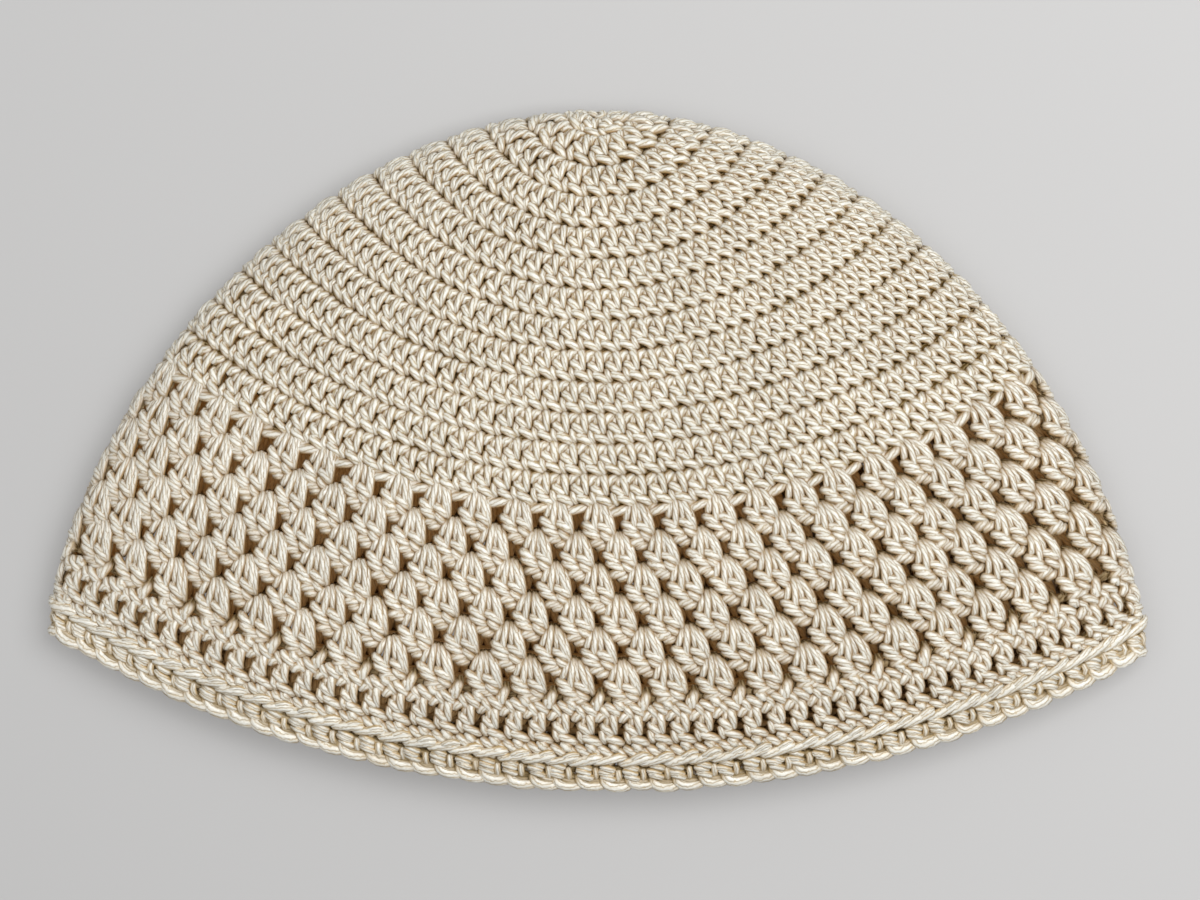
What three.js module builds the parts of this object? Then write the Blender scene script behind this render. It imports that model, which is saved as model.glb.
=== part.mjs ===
// A crocheted kufi that lies folded flat: crown towards +Y, mouth towards -Y, +Z up, in millimetres.
// The origin is on the surface that it lies on, under the middle of its outline.
//
// Every wall is a grid over two numbers. The round counts crochet rounds from the centre of the crown
// to the rim. The turn is an angle round the folded loop: 0 at the middle of the front layer, a quarter
// at the right fold, a half at the middle of the back layer and three quarters at the left fold.
import * as THREE from "three";

// Outline of the folded cap, seen from above
const HALF_WIDTH = 135.5; // from the middle to a fold, at the widest level
const CROWN_Y = 83.4; // where the crown meets the fold
const WIDEST_DROP = 132.5; // from the crown edge down to the widest level
const OUTLINE_RISE = 1.6; // exponents of the outline's curve between those two
const OUTLINE_SPREAD = 0.512;
const RIM_DROP = 166.8; // from the crown edge down to the middle of the rim
const BACK_SHARE = 0.985; // the back layer lies a little shorter than the front one
const RIM_LEAN = 2.6; // how much lower the rim lies at the right fold than at the middle
const LEAN_ROUNDS = [8, 19]; // the lean grows between these rounds

// Heights above the surface
const WALL = 3.8; // thickness of the crocheted fabric
const FOLD_HEIGHT = 7; // of the fold line
const TOP_HEIGHT = 26; // of the front layer where it arches most
const RIM_HEIGHT = 14; // of the front layer at the middle of the rim
const RISE_RUN = 75; // the front layer rises from the crown edge over this run
const FALL_RUN = 105; // and falls towards the rim from this run on
const FALL_POWER = 3.2; // how late it falls
const CAMBER = 2.3; // exponent of its arch from fold to fold
const FOLD_TURN = 12; // width over which the flat back layer curls up to the fold
const LEAST_FLAT = 0.4; // share of a small round that stays flat on the back

// Relief of the rounds on the outside, as depths below the outline's envelope
const GROOVE = 0.7; // between two rounds
const OPENWORK_DEPTH = 0.3; // of the pierced band

const SEAM_GAP = 0.3; // between two sections
const ROUND_COLUMNS = 36; // columns of a wall without gaps
const OUTLINE_STEPS = 400; // samples of the outline and of a loop's length
const YARN = { color: 0xdfd5c2, roughness: 0.55, metalness: 0 };

// The worked sections. Each row is where one ends: the last round, its run along the middle of the
// front from the crown edge, its run along the fold, and the depth of its rounds' crests.
const SECTIONS = [
  { ends: "centre ring", round: 0, middle: 0, fold: 0, crest: 0 },
  { ends: "first round", round: 1, middle: 5.4, fold: 8.1, crest: 0 },
  { ends: "crown", round: 13, middle: 96.5, fold: 128.6, crest: 0 },
  { ends: "openwork", round: 19, middle: 143.5, fold: 181.3, crest: OPENWORK_DEPTH },
  { ends: "upper single crochet", round: 20, middle: 147.5, fold: 185.7, crest: 0.2 },
  { ends: "spaced double crochet", round: 21, middle: 154.8, fold: 193.0, crest: 0.8 },
  { ends: "lower single crochet", round: 22, middle: 157.5, fold: 194.8, crest: 0.2 },
  { ends: "ridge", round: 23, middle: 160.2, fold: 197.4, crest: -1.1 },
  { ends: "edging", round: 24, middle: 164.4, fold: 201.6, crest: 0.5 },
  { ends: "bottom chain", round: 25, middle: RIM_DROP, fold: 204.4, crest: 0 },
];
const sectionThatEnds = (name) => SECTIONS.find((row) => row.ends === name);
const FIRST_ROUND = sectionThatEnds("first round");
const CROWN = sectionThatEnds("crown");
const OPENWORK = sectionThatEnds("openwork");
const BORDER = sectionThatEnds("lower single crochet");
const RIM = sectionThatEnds("bottom chain");

// Gaps of the openwork, in shares of a round and of the pitch of its clusters
const CLUSTERS = 48; // round the whole cap
const FRONT_GAPS = 20; // gaps of a round that are cut through, all on the front layer
const GAP_HALF = 0.14; // half the width of a gap, in pitches
const GAP_ROWS = [0.38, 0.8]; // where a gap starts and ends within its round
const BACK_COLUMNS = 21; // columns of the band beyond the cut gaps

const clamp = THREE.MathUtils.clamp;

// The fold line from the crown edge to the widest level: half the width, the drop and the run so far.
function foldLine() {
  const line = [{ half: 0, drop: 0, run: 0 }];
  for (let step = 1; step <= OUTLINE_STEPS; step++) {
    const share = (step / OUTLINE_STEPS) ** 2;
    const half = HALF_WIDTH * (1 - (1 - share) ** OUTLINE_RISE) ** OUTLINE_SPREAD;
    const drop = WIDEST_DROP * share;
    const last = line.at(-1);
    const run = last.run + Math.hypot(half - last.half, drop - last.drop);
    line.push({ half, drop, run });
  }
  return line;
}
const FOLD_LINE = foldLine();

// A row of the table, with each of the named columns read in a straight line between two rows.
function between(table, key, value, columns) {
  const found = table.findIndex((row) => row[key] >= value);
  const after = found < 0 ? table.length - 1 : Math.max(found, 1);
  const low = table[after - 1];
  const high = table[after];
  const share = clamp((value - low[key]) / (high[key] - low[key]), 0, 1);
  const read = (column) => THREE.MathUtils.lerp(low[column], high[column], share);
  return Object.fromEntries(columns.map((column) => [column, read(column)]));
}

// Height of the front layer's outside along its middle.
function frontHeight(middle) {
  const rise = clamp(middle / RISE_RUN, 0, 1);
  const fall = clamp((middle - FALL_RUN) / (RIM_DROP - FALL_RUN), 0, 1);
  const arch = FOLD_HEIGHT + (TOP_HEIGHT - FOLD_HEIGHT) * Math.sqrt(1 - (1 - rise) ** 2);
  return arch - (TOP_HEIGHT - RIM_HEIGHT) * fall ** FALL_POWER;
}

// Height of the back layer along its middle, at a depth from its outside.
function backHeight(middle, depth) {
  const curl = clamp(1 - middle / FOLD_TURN, 0, 1);
  return depth + (FOLD_HEIGHT - depth) * (1 - Math.sqrt(1 - curl ** 2));
}

// The point of a wall at a round and a turn, at a depth below the outside. Seen from above, a round
// is a circular arc from fold to fold. From the side it is a lens: arched in front, flat at the back.
function wallPoint(round, turn, depth) {
  const runs = between(SECTIONS, "round", round, ["middle", "fold"]);
  const fold = between(FOLD_LINE, "run", runs.fold, ["half", "drop"]);
  const front = Math.cos(turn) >= 0;
  const across = Math.sin(turn);
  const middle = runs.middle * (front ? 1 : BACK_SHARE);

  const chord = (fold.half * (HALF_WIDTH - depth)) / HALF_WIDTH;
  const foldY = CROWN_Y - depth - (fold.drop * (WIDEST_DROP - depth)) / WIDEST_DROP;
  const middleY = CROWN_Y - depth - (middle * (RIM_DROP - depth)) / RIM_DROP;
  const sag = foldY - middleY;
  const radius = (chord ** 2 + sag ** 2) / (2 * sag);
  const spread = Math.atan2(chord, radius - sag);
  const x = radius * Math.sin(across * spread);
  const level = middleY + radius * (1 - Math.cos(across * spread));
  const lean = RIM_LEAN * clamp((round - LEAN_ROUNDS[0]) / (LEAN_ROUNDS[1] - LEAN_ROUNDS[0]), 0, 1);
  const y = level - (lean * x) / HALF_WIDTH;

  if (front) {
    const arch = Math.sqrt(1 - Math.abs(across) ** CAMBER);
    return new THREE.Vector3(x, y, FOLD_HEIGHT + (frontHeight(middle) - depth - FOLD_HEIGHT) * arch);
  }
  const flat = Math.max(LEAST_FLAT, 1 - FOLD_TURN / (radius * spread));
  const curl = clamp((Math.abs(across) - flat) / (1 - flat), 0, 1);
  const sink = Math.sqrt(1 - curl ** 2);
  return new THREE.Vector3(x, y, FOLD_HEIGHT - (FOLD_HEIGHT - backHeight(middle, depth)) * sink);
}

// Depth of the outside: the rounds' relief, which is pressed flat on the back layer.
function outsideDepth(round, turn) {
  const section = SECTIONS.find((row) => row.round >= round);
  const relief = section.crest + (GROOVE - section.crest) * Math.cos(Math.PI * round) ** 2;
  const raised = section === OPENWORK ? section.crest : relief;
  return raised * clamp(0.5 + 2 * Math.cos(turn), 0, 1);
}

// The turn at each share of a round's length, measured in the middle of the wall.
function turnsAt(round, shares) {
  const loop = [];
  let run = 0;
  let last = wallPoint(round, 0, WALL / 2);
  for (let step = 0; step <= OUTLINE_STEPS; step++) {
    const turn = (2 * Math.PI * step) / OUTLINE_STEPS;
    const point = wallPoint(round, turn, WALL / 2);
    run += point.distanceTo(last);
    last = point;
    loop.push({ run, turn });
  }
  return shares.map((share) => {
    const whole = Math.floor(share);
    return between(loop, "run", (share - whole) * run, ["turn"]).turn + 2 * Math.PI * whole;
  });
}

// Collects the vertices and faces of one closed wall.
class Wall {
  constructor() {
    this.positions = [];
    this.faces = [];
  }

  vertex(point) {
    this.positions.push(point.x, point.y, point.z);
    return this.positions.length / 3 - 1;
  }

  triangle(a, b, c) {
    this.faces.push(a, b, c);
  }

  quad(a, b, c, d) {
    this.triangle(a, b, c);
    this.triangle(a, c, d);
  }

  geometry() {
    const made = new THREE.BufferGeometry();
    made.setAttribute("position", new THREE.Float32BufferAttribute(this.positions, 3));
    made.setIndex(this.faces);
    made.computeVertexNormals();
    return made;
  }
}

// A closed wall over the given rounds, with a list of turns for each. It is a skin outside, a skin
// inside, and a lip at each end and round each gap. A wall that starts at a pole closes there instead.
function wallGeometry(rounds, turns, { pole = false, isGap = () => false } = {}) {
  const wall = new Wall();
  const vertexAt = (round, turn, depth) => wall.vertex(wallPoint(round, turn, depth));
  const skin = (depthAt) =>
    rounds.map((round, row) => turns[row].map((turn) => vertexAt(round, turn, depthAt(round, turn))));
  const outside = skin(outsideDepth);
  const inside = skin(() => WALL);
  const columns = turns[0].length;
  const lastRow = rounds.length - 1;

  for (let column = 0; column < columns; column++) {
    const next = (column + 1) % columns;
    for (let row = 0; row < lastRow; row++) {
      const places = [[row, column], [row + 1, column], [row + 1, next], [row, next]];
      const [a, b, c, d] = places.map(([r, k]) => outside[r][k]);
      const [e, f, g, h] = places.map(([r, k]) => inside[r][k]);
      if (isGap(row, column)) {
        wall.quad(a, b, f, e);
        wall.quad(b, c, g, f);
        wall.quad(c, d, h, g);
        wall.quad(d, a, e, h);
      } else {
        wall.quad(a, b, c, d);
        wall.quad(h, g, f, e);
      }
    }
    const [outerEnd, innerEnd] = [outside[lastRow], inside[lastRow]];
    wall.quad(outerEnd[next], outerEnd[column], innerEnd[column], innerEnd[next]);
    if (!pole) wall.quad(outside[0][column], outside[0][next], inside[0][next], inside[0][column]);
  }
  if (pole) {
    const tip = wall.vertex(new THREE.Vector3(0, CROWN_Y, FOLD_HEIGHT));
    const hollow = wall.vertex(new THREE.Vector3(0, CROWN_Y - WALL, FOLD_HEIGHT));
    for (let column = 0; column < columns; column++) {
      const next = (column + 1) % columns;
      wall.triangle(tip, outside[0][column], outside[0][next]);
      wall.triangle(hollow, inside[0][next], inside[0][column]);
    }
  }
  return wall.geometry();
}

// Every half round from one section's end to another's, drawn back by half the seam at both ends.
function halfRounds(first, last) {
  const rounds = [];
  for (let round = first; round <= last; round += 0.5) rounds.push(round);
  return drawnBack(rounds);
}

// The first and last round moved inwards by half the seam gap.
function drawnBack(rounds) {
  const runAt = (round) => between(SECTIONS, "round", round, ["middle"]).middle;
  const first = rounds[0];
  const last = rounds.at(-1);
  const gap = SEAM_GAP / 2;
  const moved = [...rounds];
  if (first > FIRST_ROUND.round) moved[0] = first + (gap * 0.5) / (runAt(first + 0.5) - runAt(first));
  if (last < RIM.round) moved[moved.length - 1] = last - (gap * 0.5) / (runAt(last) - runAt(last - 0.5));
  return moved;
}

// Columns at even turns, which crowd towards the folds.
function evenTurns(rounds) {
  const step = (2 * Math.PI) / ROUND_COLUMNS;
  const turns = Array.from({ length: ROUND_COLUMNS }, (_, column) => step * column);
  return rounds.map(() => turns);
}

function crownGeometry() {
  const rounds = halfRounds(FIRST_ROUND.round / 2, CROWN.round);
  return wallGeometry(rounds, evenTurns(rounds), { pole: true });
}

// The pierced band. A gap lies between two clusters, and the next round is shifted by half a pitch.
function openworkGeometry() {
  const [gapStart, gapEnd] = GAP_ROWS;
  const rows = [CROWN.round];
  for (let round = CROWN.round; round < OPENWORK.round; round++) {
    rows.push(round + gapStart, round + gapEnd);
  }
  rows.push(OPENWORK.round);
  const rounds = drawnBack(rows);

  const gapEdges = [-GAP_HALF, GAP_HALF, 0.5 - GAP_HALF, 0.5 + GAP_HALF];
  const shares = [];
  const reach = FRONT_GAPS / 2;
  for (let pitch = -reach; pitch < reach; pitch++) {
    for (const edge of gapEdges) shares.push((pitch + edge) / CLUSTERS);
  }
  const turns = rounds.map((round) => {
    const front = turnsAt(round, shares);
    const start = front.at(-1);
    const step = (front[0] + 2 * Math.PI - start) / (BACK_COLUMNS + 1);
    const back = Array.from({ length: BACK_COLUMNS }, (_, column) => start + step * (column + 1));
    return [...front, ...back];
  });

  const isGap = (row, column) => {
    if (row % 2 === 0 || column >= shares.length) return false;
    const shifted = ((row - 1) / 2) % 2 === 1;
    return column % gapEdges.length === (shifted ? 0 : 2);
  };
  return wallGeometry(rounds, turns, { isGap });
}

function plainBandGeometry(first, last) {
  const rounds = halfRounds(first.round, last.round);
  return wallGeometry(rounds, evenTurns(rounds));
}

// A named piece with a finish of its own.
function piece(name, geometry) {
  const mesh = new THREE.Mesh(geometry, new THREE.MeshStandardMaterial(YARN));
  mesh.name = name;
  return mesh;
}

const kufi = new THREE.Group();
kufi.name = "kufi";
kufi.add(
  piece("crown", crownGeometry()),
  piece("openwork_band", openworkGeometry()),
  piece("border_band", plainBandGeometry(OPENWORK, BORDER)),
  piece("rim_edging", plainBandGeometry(BORDER, RIM)),
);

export default kufi;
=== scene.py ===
"""Looks of a crocheted kufi that lies folded flat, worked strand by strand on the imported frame.

The wall of the cap is a function of two numbers. The round counts from the centre of the crown to the
rim, and the share goes round the folded loop: 0 at the middle of the front layer, then over the right
fold, the back layer and the left fold to 1. A stitch is a cell of that wall, and each strand of yarn
that shows in a stitch is a tube carried along a way through its cell. Sizes are in millimetres until
a mesh is made, which is in metres.
"""

import logging
import math
from dataclasses import dataclass, field, replace
from enum import Enum
from typing import ClassVar

import bpy
import numpy as np
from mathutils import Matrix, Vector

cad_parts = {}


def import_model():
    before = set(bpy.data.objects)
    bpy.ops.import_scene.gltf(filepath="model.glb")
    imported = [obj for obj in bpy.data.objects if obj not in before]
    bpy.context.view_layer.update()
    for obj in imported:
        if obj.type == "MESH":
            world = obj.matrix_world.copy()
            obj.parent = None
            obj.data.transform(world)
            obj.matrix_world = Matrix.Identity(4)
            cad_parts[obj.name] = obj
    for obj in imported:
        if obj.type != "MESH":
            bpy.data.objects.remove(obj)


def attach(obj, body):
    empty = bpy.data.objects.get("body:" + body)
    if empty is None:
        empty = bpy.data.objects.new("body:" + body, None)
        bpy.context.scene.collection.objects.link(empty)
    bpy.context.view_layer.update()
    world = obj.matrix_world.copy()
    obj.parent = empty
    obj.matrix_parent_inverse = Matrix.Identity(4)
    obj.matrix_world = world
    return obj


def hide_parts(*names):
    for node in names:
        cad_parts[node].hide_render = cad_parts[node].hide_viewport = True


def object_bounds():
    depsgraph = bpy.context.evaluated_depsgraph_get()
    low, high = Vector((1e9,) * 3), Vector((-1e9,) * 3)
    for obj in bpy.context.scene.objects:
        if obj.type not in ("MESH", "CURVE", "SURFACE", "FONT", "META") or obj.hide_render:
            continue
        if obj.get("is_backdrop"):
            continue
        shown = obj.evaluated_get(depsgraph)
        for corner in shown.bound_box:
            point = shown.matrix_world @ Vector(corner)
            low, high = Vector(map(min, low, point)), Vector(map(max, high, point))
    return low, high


LOG = logging.getLogger("kufi")
MM = 0.001
TINY = 1e-6
BODY = "root"
YARN_MAP = "yarn"
BAKE_MAP = "OFBake"
CREST = "crest"
TINT = "tint"
EDGE = "edge"

Knot = tuple[float, float, float]
Colour = tuple[float, float, float]


class Layer(Enum):
    """How finely a strand is meshed: sides of its tube and rings along it."""

    FACE = (6, 7)
    SHORT = (6, 5)
    LONG = (6, 9)
    BACKING = (5, 5)

    @property
    def sides(self) -> int:
        """Corners of the tube's profile."""
        return self.value[0]

    @property
    def rings(self) -> int:
        """Profiles along the tube."""
        return self.value[1]


@dataclass(frozen=True)
class Strand:
    """One strand of a stitch.

    SAMPLES is how finely its curve is read for each knot, and LIFT_LENGTH is the length in mm of a lift
    of 1. Its knots give the way through the cell: across in pitches, down in rounds, and lift, which is 1
    where the yarn touches the outside of the wall and -1 where it touches the inside. From its start
    to its end the strand loses the thin share of its thickness. Where its round slopes over the lying
    cap, the level share of that slope is taken out of the strand, or less where the round falls.
    """

    SAMPLES: ClassVar[int] = 16
    LIFT_LENGTH: ClassVar[float] = 1.1
    name: str
    thick: float
    knots: tuple[Knot, ...]
    layer: Layer = Layer.FACE
    thin: float = 0.0
    level: float = 0.0

    def moved(self, aside: float, below: float, width: float = 1.0, middle: float = 0.0) -> "Strand":
        """This strand shifted in its cell, after its way is drawn in to a share of its width.

        Args:
            aside: Shift in pitches.
            below: Shift in rounds.
            width: Share of its width that the way keeps.
            middle: Where across the cell the way is drawn in to.

        Returns:
            The strand with its new way.
        """
        knots = tuple(
            (middle + (across - middle) * width + aside, down + below, lift)
            for across, down, lift in self.knots
        )
        return replace(self, knots=knots)

    def squeezed(self, share: float) -> "Strand":
        """This strand with its way drawn in towards the middle of its round, unless it is a backing.

        Args:
            share: Share of its height that the way keeps.

        Returns:
            The strand with its new way.
        """
        if self.layer is Layer.BACKING:
            return self
        drawn_in = tuple((across, 0.5 + share * (down - 0.5), lift) for across, down, lift in self.knots)
        return replace(self, knots=drawn_in)

    def towards(self, knots: tuple[Knot, ...], share: float) -> "Strand":
        """This strand with its way changed by a share of the difference to other knots."""
        mixed = (1 - share) * np.array(self.knots) + share * np.array(knots)
        return replace(self, knots=tuple(map(tuple, mixed.tolist())))

    def way(self, cell: tuple[float, float]) -> np.ndarray:
        """Evenly spaced points of the smooth curve through the knots.

        The curve is a Catmull-Rom spline: between two knots it is the cubic that leaves and arrives
        along the chord of their neighbours. It is sampled finely and then read at even lengths.

        Args:
            cell: Width and height of a common cell, in mm, to measure the lengths with.

        Returns:
            An array of rings by (across, down, lift).
        """
        knots = np.array(self.knots)
        padded = np.vstack([2 * knots[0] - knots[1], knots, 2 * knots[-1] - knots[-2]])
        spot = np.linspace(0.0, len(knots) - 1.0, self.SAMPLES * len(knots))
        span = np.minimum(spot.astype(int), len(knots) - 2)
        share = (spot - span)[:, None]
        before, start, end, after = (padded[span + step] for step in range(4))
        swing = 2 * before - 5 * start + 4 * end - after
        bend = 3 * (start - end) + after - before
        curve = start + 0.5 * share * ((end - before) + share * (swing + share * bend))
        steps = np.diff(curve * np.array([*cell, self.LIFT_LENGTH]), axis=0)
        run = np.concatenate([[0.0], np.cumsum(np.linalg.norm(steps, axis=1))])
        even = np.linspace(0.0, run[-1], self.layer.rings)
        return np.stack([np.interp(even, run, curve[:, axis]) for axis in range(3)], axis=1)


def double_crochet() -> tuple[Strand, ...]:
    """The strands of a double crochet.

    Returns:
        Strands from the front to the backing.
    """
    return (
        Strand("right post", 1.82, (
            (0.63, -0.05, -0.8), (0.65, 0.04, 0.5), (0.70, 0.20, 1.15),
            (0.75, 0.42, 1.2), (0.79, 0.60, 0.85), (0.82, 0.74, -0.3)), thin=0.6),
        Strand("left post", 1.25, (
            (0.51, 0.02, -0.6), (0.47, 0.10, 0.35), (0.405, 0.21, 0.6),
            (0.35, 0.34, 0.4), (0.32, 0.43, -0.3)), Layer.SHORT),
        Strand("upper wrap", 1.45, (
            (0.20, 0.335, -0.5), (0.155, 0.40, 0.5), (0.25, 0.465, 1.0), (0.40, 0.545, 1.1),
            (0.55, 0.63, 0.85), (0.66, 0.70, 0.1), (0.72, 0.74, -0.6)), thin=0.15, level=0.8),
        Strand("lower wrap", 1.34, (
            (0.29, 0.66, -0.4), (0.36, 0.745, 0.6), (0.52, 0.805, 1.05), (0.72, 0.865, 1.15),
            (0.92, 0.925, 1.0), (1.05, 0.975, 0.4), (1.12, 1.01, -0.4)), level=0.5),
        Strand("foot", 1.08, (
            (0.15, 0.53, -0.4), (0.10, 0.63, 0.6), (0.125, 0.77, 1.0),
            (0.20, 0.88, 0.9), (0.27, 0.955, 0.3), (0.30, 0.99, -0.6)), Layer.SHORT),
        Strand("back loop end", 1.38, (
            (-0.16, 0.33, -0.5), (-0.11, 0.27, 0.5), (0.01, 0.18, 1.05),
            (0.14, 0.095, 1.0), (0.23, 0.04, 0.4), (0.27, 0.01, -0.6)), Layer.SHORT),
        Strand("inner post", 1.3, (
            (0.93, -0.02, -0.6), (0.97, 0.45, -0.95), (1.00, 0.98, -0.7)), Layer.BACKING),
        Strand("top loop", 1.2, (
            (0.00, 1.00, -0.4), (0.34, 0.965, -0.25), (0.70, 0.985, -0.25),
            (1.08, 1.02, -0.4)), Layer.BACKING),
        Strand("inner slant", 1.2, (
            (0.22, 0.10, -0.7), (0.36, 0.52, -1.0), (0.55, 0.96, -0.7)), Layer.BACKING),
    )


def spaced_double_crochet(narrow: float) -> tuple[Strand, ...]:
    """The strands of a double crochet that is drawn in, so that a slot is left beside it.

    Args:
        narrow: Share of its cell's width that the stitch fills.

    Returns:
        Strands from the front to the backing, without the one that would close the slot.
    """
    middle = 0.45
    joins = {"lower wrap": (0.0, 0.02), "top loop": (0.0, 0.0), "back loop end": (0.04, -0.08)}
    kept = [strand for strand in double_crochet() if strand.name != "inner post"]
    return tuple(
        strand.moved(*joins[strand.name]) if strand.name in joins else strand.moved(0.0, 0.0, narrow, middle)
        for strand in kept
    )


def fan_cluster(full: float = 0.0) -> tuple[Strand, ...]:
    """The strands of a fan: three posts gathered in the gap above, spread over their own loops.

    Args:
        full: How round the fan is, from 0 for a pointed one to 1 for one like a shell.

    Returns:
        Strands from the front to the backing.
    """
    strands = (
        Strand("left post", 1.08, (
            (-0.11, -0.18, -0.6), (-0.15, -0.03, 0.5), (-0.21, 0.20, 0.95),
            (-0.255, 0.38, 0.75), (-0.28, 0.52, -0.1)), Layer.SHORT),
        Strand("second post", 1.1, (
            (-0.055, -0.30, -0.6), (-0.05, -0.10, 0.6), (-0.065, 0.22, 1.1),
            (-0.09, 0.52, 1.0), (-0.10, 0.74, 0.5), (-0.095, 0.86, -0.3))),
        Strand("third post", 1.0, (
            (0.02, -0.30, -0.6), (0.04, -0.10, 0.5), (0.06, 0.22, 0.85),
            (0.075, 0.44, 0.7), (0.085, 0.62, -0.2))),
        Strand("fourth post", 1.08, (
            (0.085, -0.28, -0.6), (0.12, -0.04, 0.65), (0.185, 0.26, 1.1),
            (0.24, 0.54, 1.05), (0.28, 0.80, 0.35), (0.295, 0.93, -0.4))),
        Strand("right post", 1.02, (
            (0.14, -0.24, -0.6), (0.195, 0.02, 0.45), (0.275, 0.30, 0.85),
            (0.325, 0.58, 0.9), (0.36, 0.86, 0.35), (0.385, 1.04, -0.5))),
        Strand("upper left wrap", 1.36, (
            (-0.335, 0.47, -0.6), (-0.335, 0.535, 0.4), (-0.255, 0.605, 1.05),
            (-0.16, 0.70, 1.05), (-0.06, 0.80, 0.5), (0.0, 0.88, -0.3)), level=0.6),
        Strand("lower left wrap", 1.34, (
            (-0.29, 0.71, -0.4), (-0.27, 0.785, 0.5), (-0.14, 0.875, 1.05),
            (0.0, 0.955, 0.8), (0.09, 1.0, -0.2)), level=0.6),
        Strand("upper right wrap", 1.34, (
            (0.0, 0.52, -0.4), (0.035, 0.585, 0.6), (0.15, 0.665, 1.05),
            (0.26, 0.755, 0.85), (0.36, 0.86, -0.1)), level=0.6),
        Strand("lower right wrap", 1.22, (
            (0.08, 0.76, -0.3), (0.11, 0.87, 0.65), (0.19, 0.97, 1.0),
            (0.29, 1.05, 0.6), (0.35, 1.11, -0.4)), level=0.6),
        Strand("left loop", 1.4, (
            (-0.24, 1.17, -0.5), (-0.16, 1.155, 0.6), (-0.04, 1.11, 1.0),
            (0.08, 1.09, 0.85), (0.16, 1.10, -0.1)), Layer.SHORT),
        Strand("right loop", 1.25, (
            (-0.05, 1.26, -0.3), (0.01, 1.26, 0.65), (0.10, 1.245, 0.95),
            (0.19, 1.21, 0.6), (0.26, 1.17, -0.4)), Layer.SHORT),
        Strand("inner left post", 1.3, (
            (-0.02, -0.12, -0.6), (-0.10, 0.40, -1.0), (-0.20, 0.98, -0.6)), Layer.BACKING),
        Strand("inner middle post", 1.3, (
            (0.0, -0.12, -0.7), (0.03, 0.45, -1.0), (0.04, 1.05, -0.6)), Layer.BACKING),
        Strand("inner right post", 1.3, (
            (0.04, -0.12, -0.6), (0.15, 0.40, -1.0), (0.22, 1.05, -0.6)), Layer.BACKING),
        Strand("inner loop", 1.2, (
            (-0.48, 1.10, -0.8), (-0.20, 1.07, -0.9), (0.20, 1.07, -0.9), (0.52, 1.10, -0.8)), Layer.BACKING),
    )
    arches = {
        "left post": (
            (-0.17, -0.09, -0.5), (-0.175, 0.0, 0.5), (-0.19, 0.18, 0.95),
            (-0.23, 0.36, 0.75), (-0.27, 0.50, -0.1)),
        "second post": (
            (-0.13, -0.19, -0.5), (-0.085, -0.10, 0.65), (-0.04, 0.12, 1.1),
            (-0.055, 0.46, 1.0), (-0.085, 0.72, 0.5), (-0.095, 0.86, -0.3)),
        "third post": (
            (-0.08, -0.24, -0.5), (0.0, -0.17, 0.6), (0.075, 0.06, 0.95),
            (0.105, 0.36, 0.75), (0.105, 0.60, -0.2)),
        "fourth post": (
            (-0.03, -0.27, -0.5), (0.075, -0.21, 0.65), (0.18, 0.0, 1.1),
            (0.25, 0.34, 1.1), (0.275, 0.66, 0.8), (0.285, 0.90, -0.4)),
        "right post": (
            (0.02, -0.27, -0.6), (0.14, -0.20, 0.45), (0.26, 0.03, 0.85),
            (0.335, 0.40, 0.95), (0.36, 0.76, 0.5), (0.36, 1.0, -0.5)),
    }
    return tuple(strand.towards(arches.get(strand.name, strand.knots), full) for strand in strands)


def bridge() -> tuple[Strand, ...]:
    """The chain above a gap of the first pierced round, between two fans.

    Returns:
        Its two strands.
    """
    return (
        Strand("bridge", 1.4, (
            (0.18, 0.23, -0.5), (0.28, 0.22, 0.4), (0.46, 0.17, 0.85), (0.66, 0.09, 0.8), (0.80, 0.0, 0.0))),
        Strand("bridge end", 1.25, (
            (0.16, 0.12, -0.4), (0.24, 0.09, 0.4), (0.36, 0.02, 0.6), (0.44, -0.06, -0.2)), Layer.SHORT),
    )


def single_crochet() -> tuple[Strand, ...]:
    """The strands of a single crochet below its knob: two slanted wraps and their backing.

    Returns:
        Strands from the front to the backing.
    """
    return (
        Strand("short wrap", 1.15, (
            (-0.04, 0.48, -0.5), (0.03, 0.64, 0.6), (0.15, 0.88, 1.05),
            (0.27, 1.10, 0.7), (0.33, 1.22, -0.4)), Layer.SHORT),
        Strand("long wrap", 1.3, (
            (0.20, 0.36, -0.5), (0.28, 0.49, 0.6), (0.46, 0.69, 1.1),
            (0.66, 0.90, 1.0), (0.80, 1.06, 0.3), (0.86, 1.14, -0.5))),
        Strand("inner post", 1.25, (
            (0.42, 0.30, -0.7), (0.44, 0.65, -0.95), (0.52, 1.1, -0.7)), Layer.BACKING),
        Strand("inner loop", 1.3, (
            (-0.05, 0.95, -0.6), (0.50, 0.80, -0.85), (1.05, 0.95, -0.6)), Layer.BACKING),
    )


def round_knob() -> tuple[Strand, ...]:
    """The loop of a single crochet where it shows as a bead over the stitch that it is worked into.

    Returns:
        Its one strand.
    """
    return (
        Strand("bead", 1.6, (
            (0.69, 0.26, -0.5), (0.72, 0.35, 0.8), (0.79, 0.46, 1.5),
            (0.87, 0.58, 0.8), (0.90, 0.68, -0.5)), Layer.SHORT),
    )


def leaf_knob() -> tuple[Strand, ...]:
    """The loop of a single crochet where it reaches up into the gap between two fans.

    Returns:
        Its two strands.
    """
    return (
        Strand("leaf", 1.5, (
            (1.02, -0.34, -0.3), (0.99, -0.16, 0.5), (0.88, 0.24, 1.0),
            (0.80, 0.66, 0.9), (0.79, 0.88, -0.3)), Layer.SHORT),
        Strand("leaf side", 1.1, (
            (0.86, -0.10, -0.4), (0.76, 0.16, 0.5), (0.68, 0.44, 0.8),
            (0.69, 0.70, 0.3), (0.72, 0.82, -0.5)), Layer.SHORT),
    )


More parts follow.
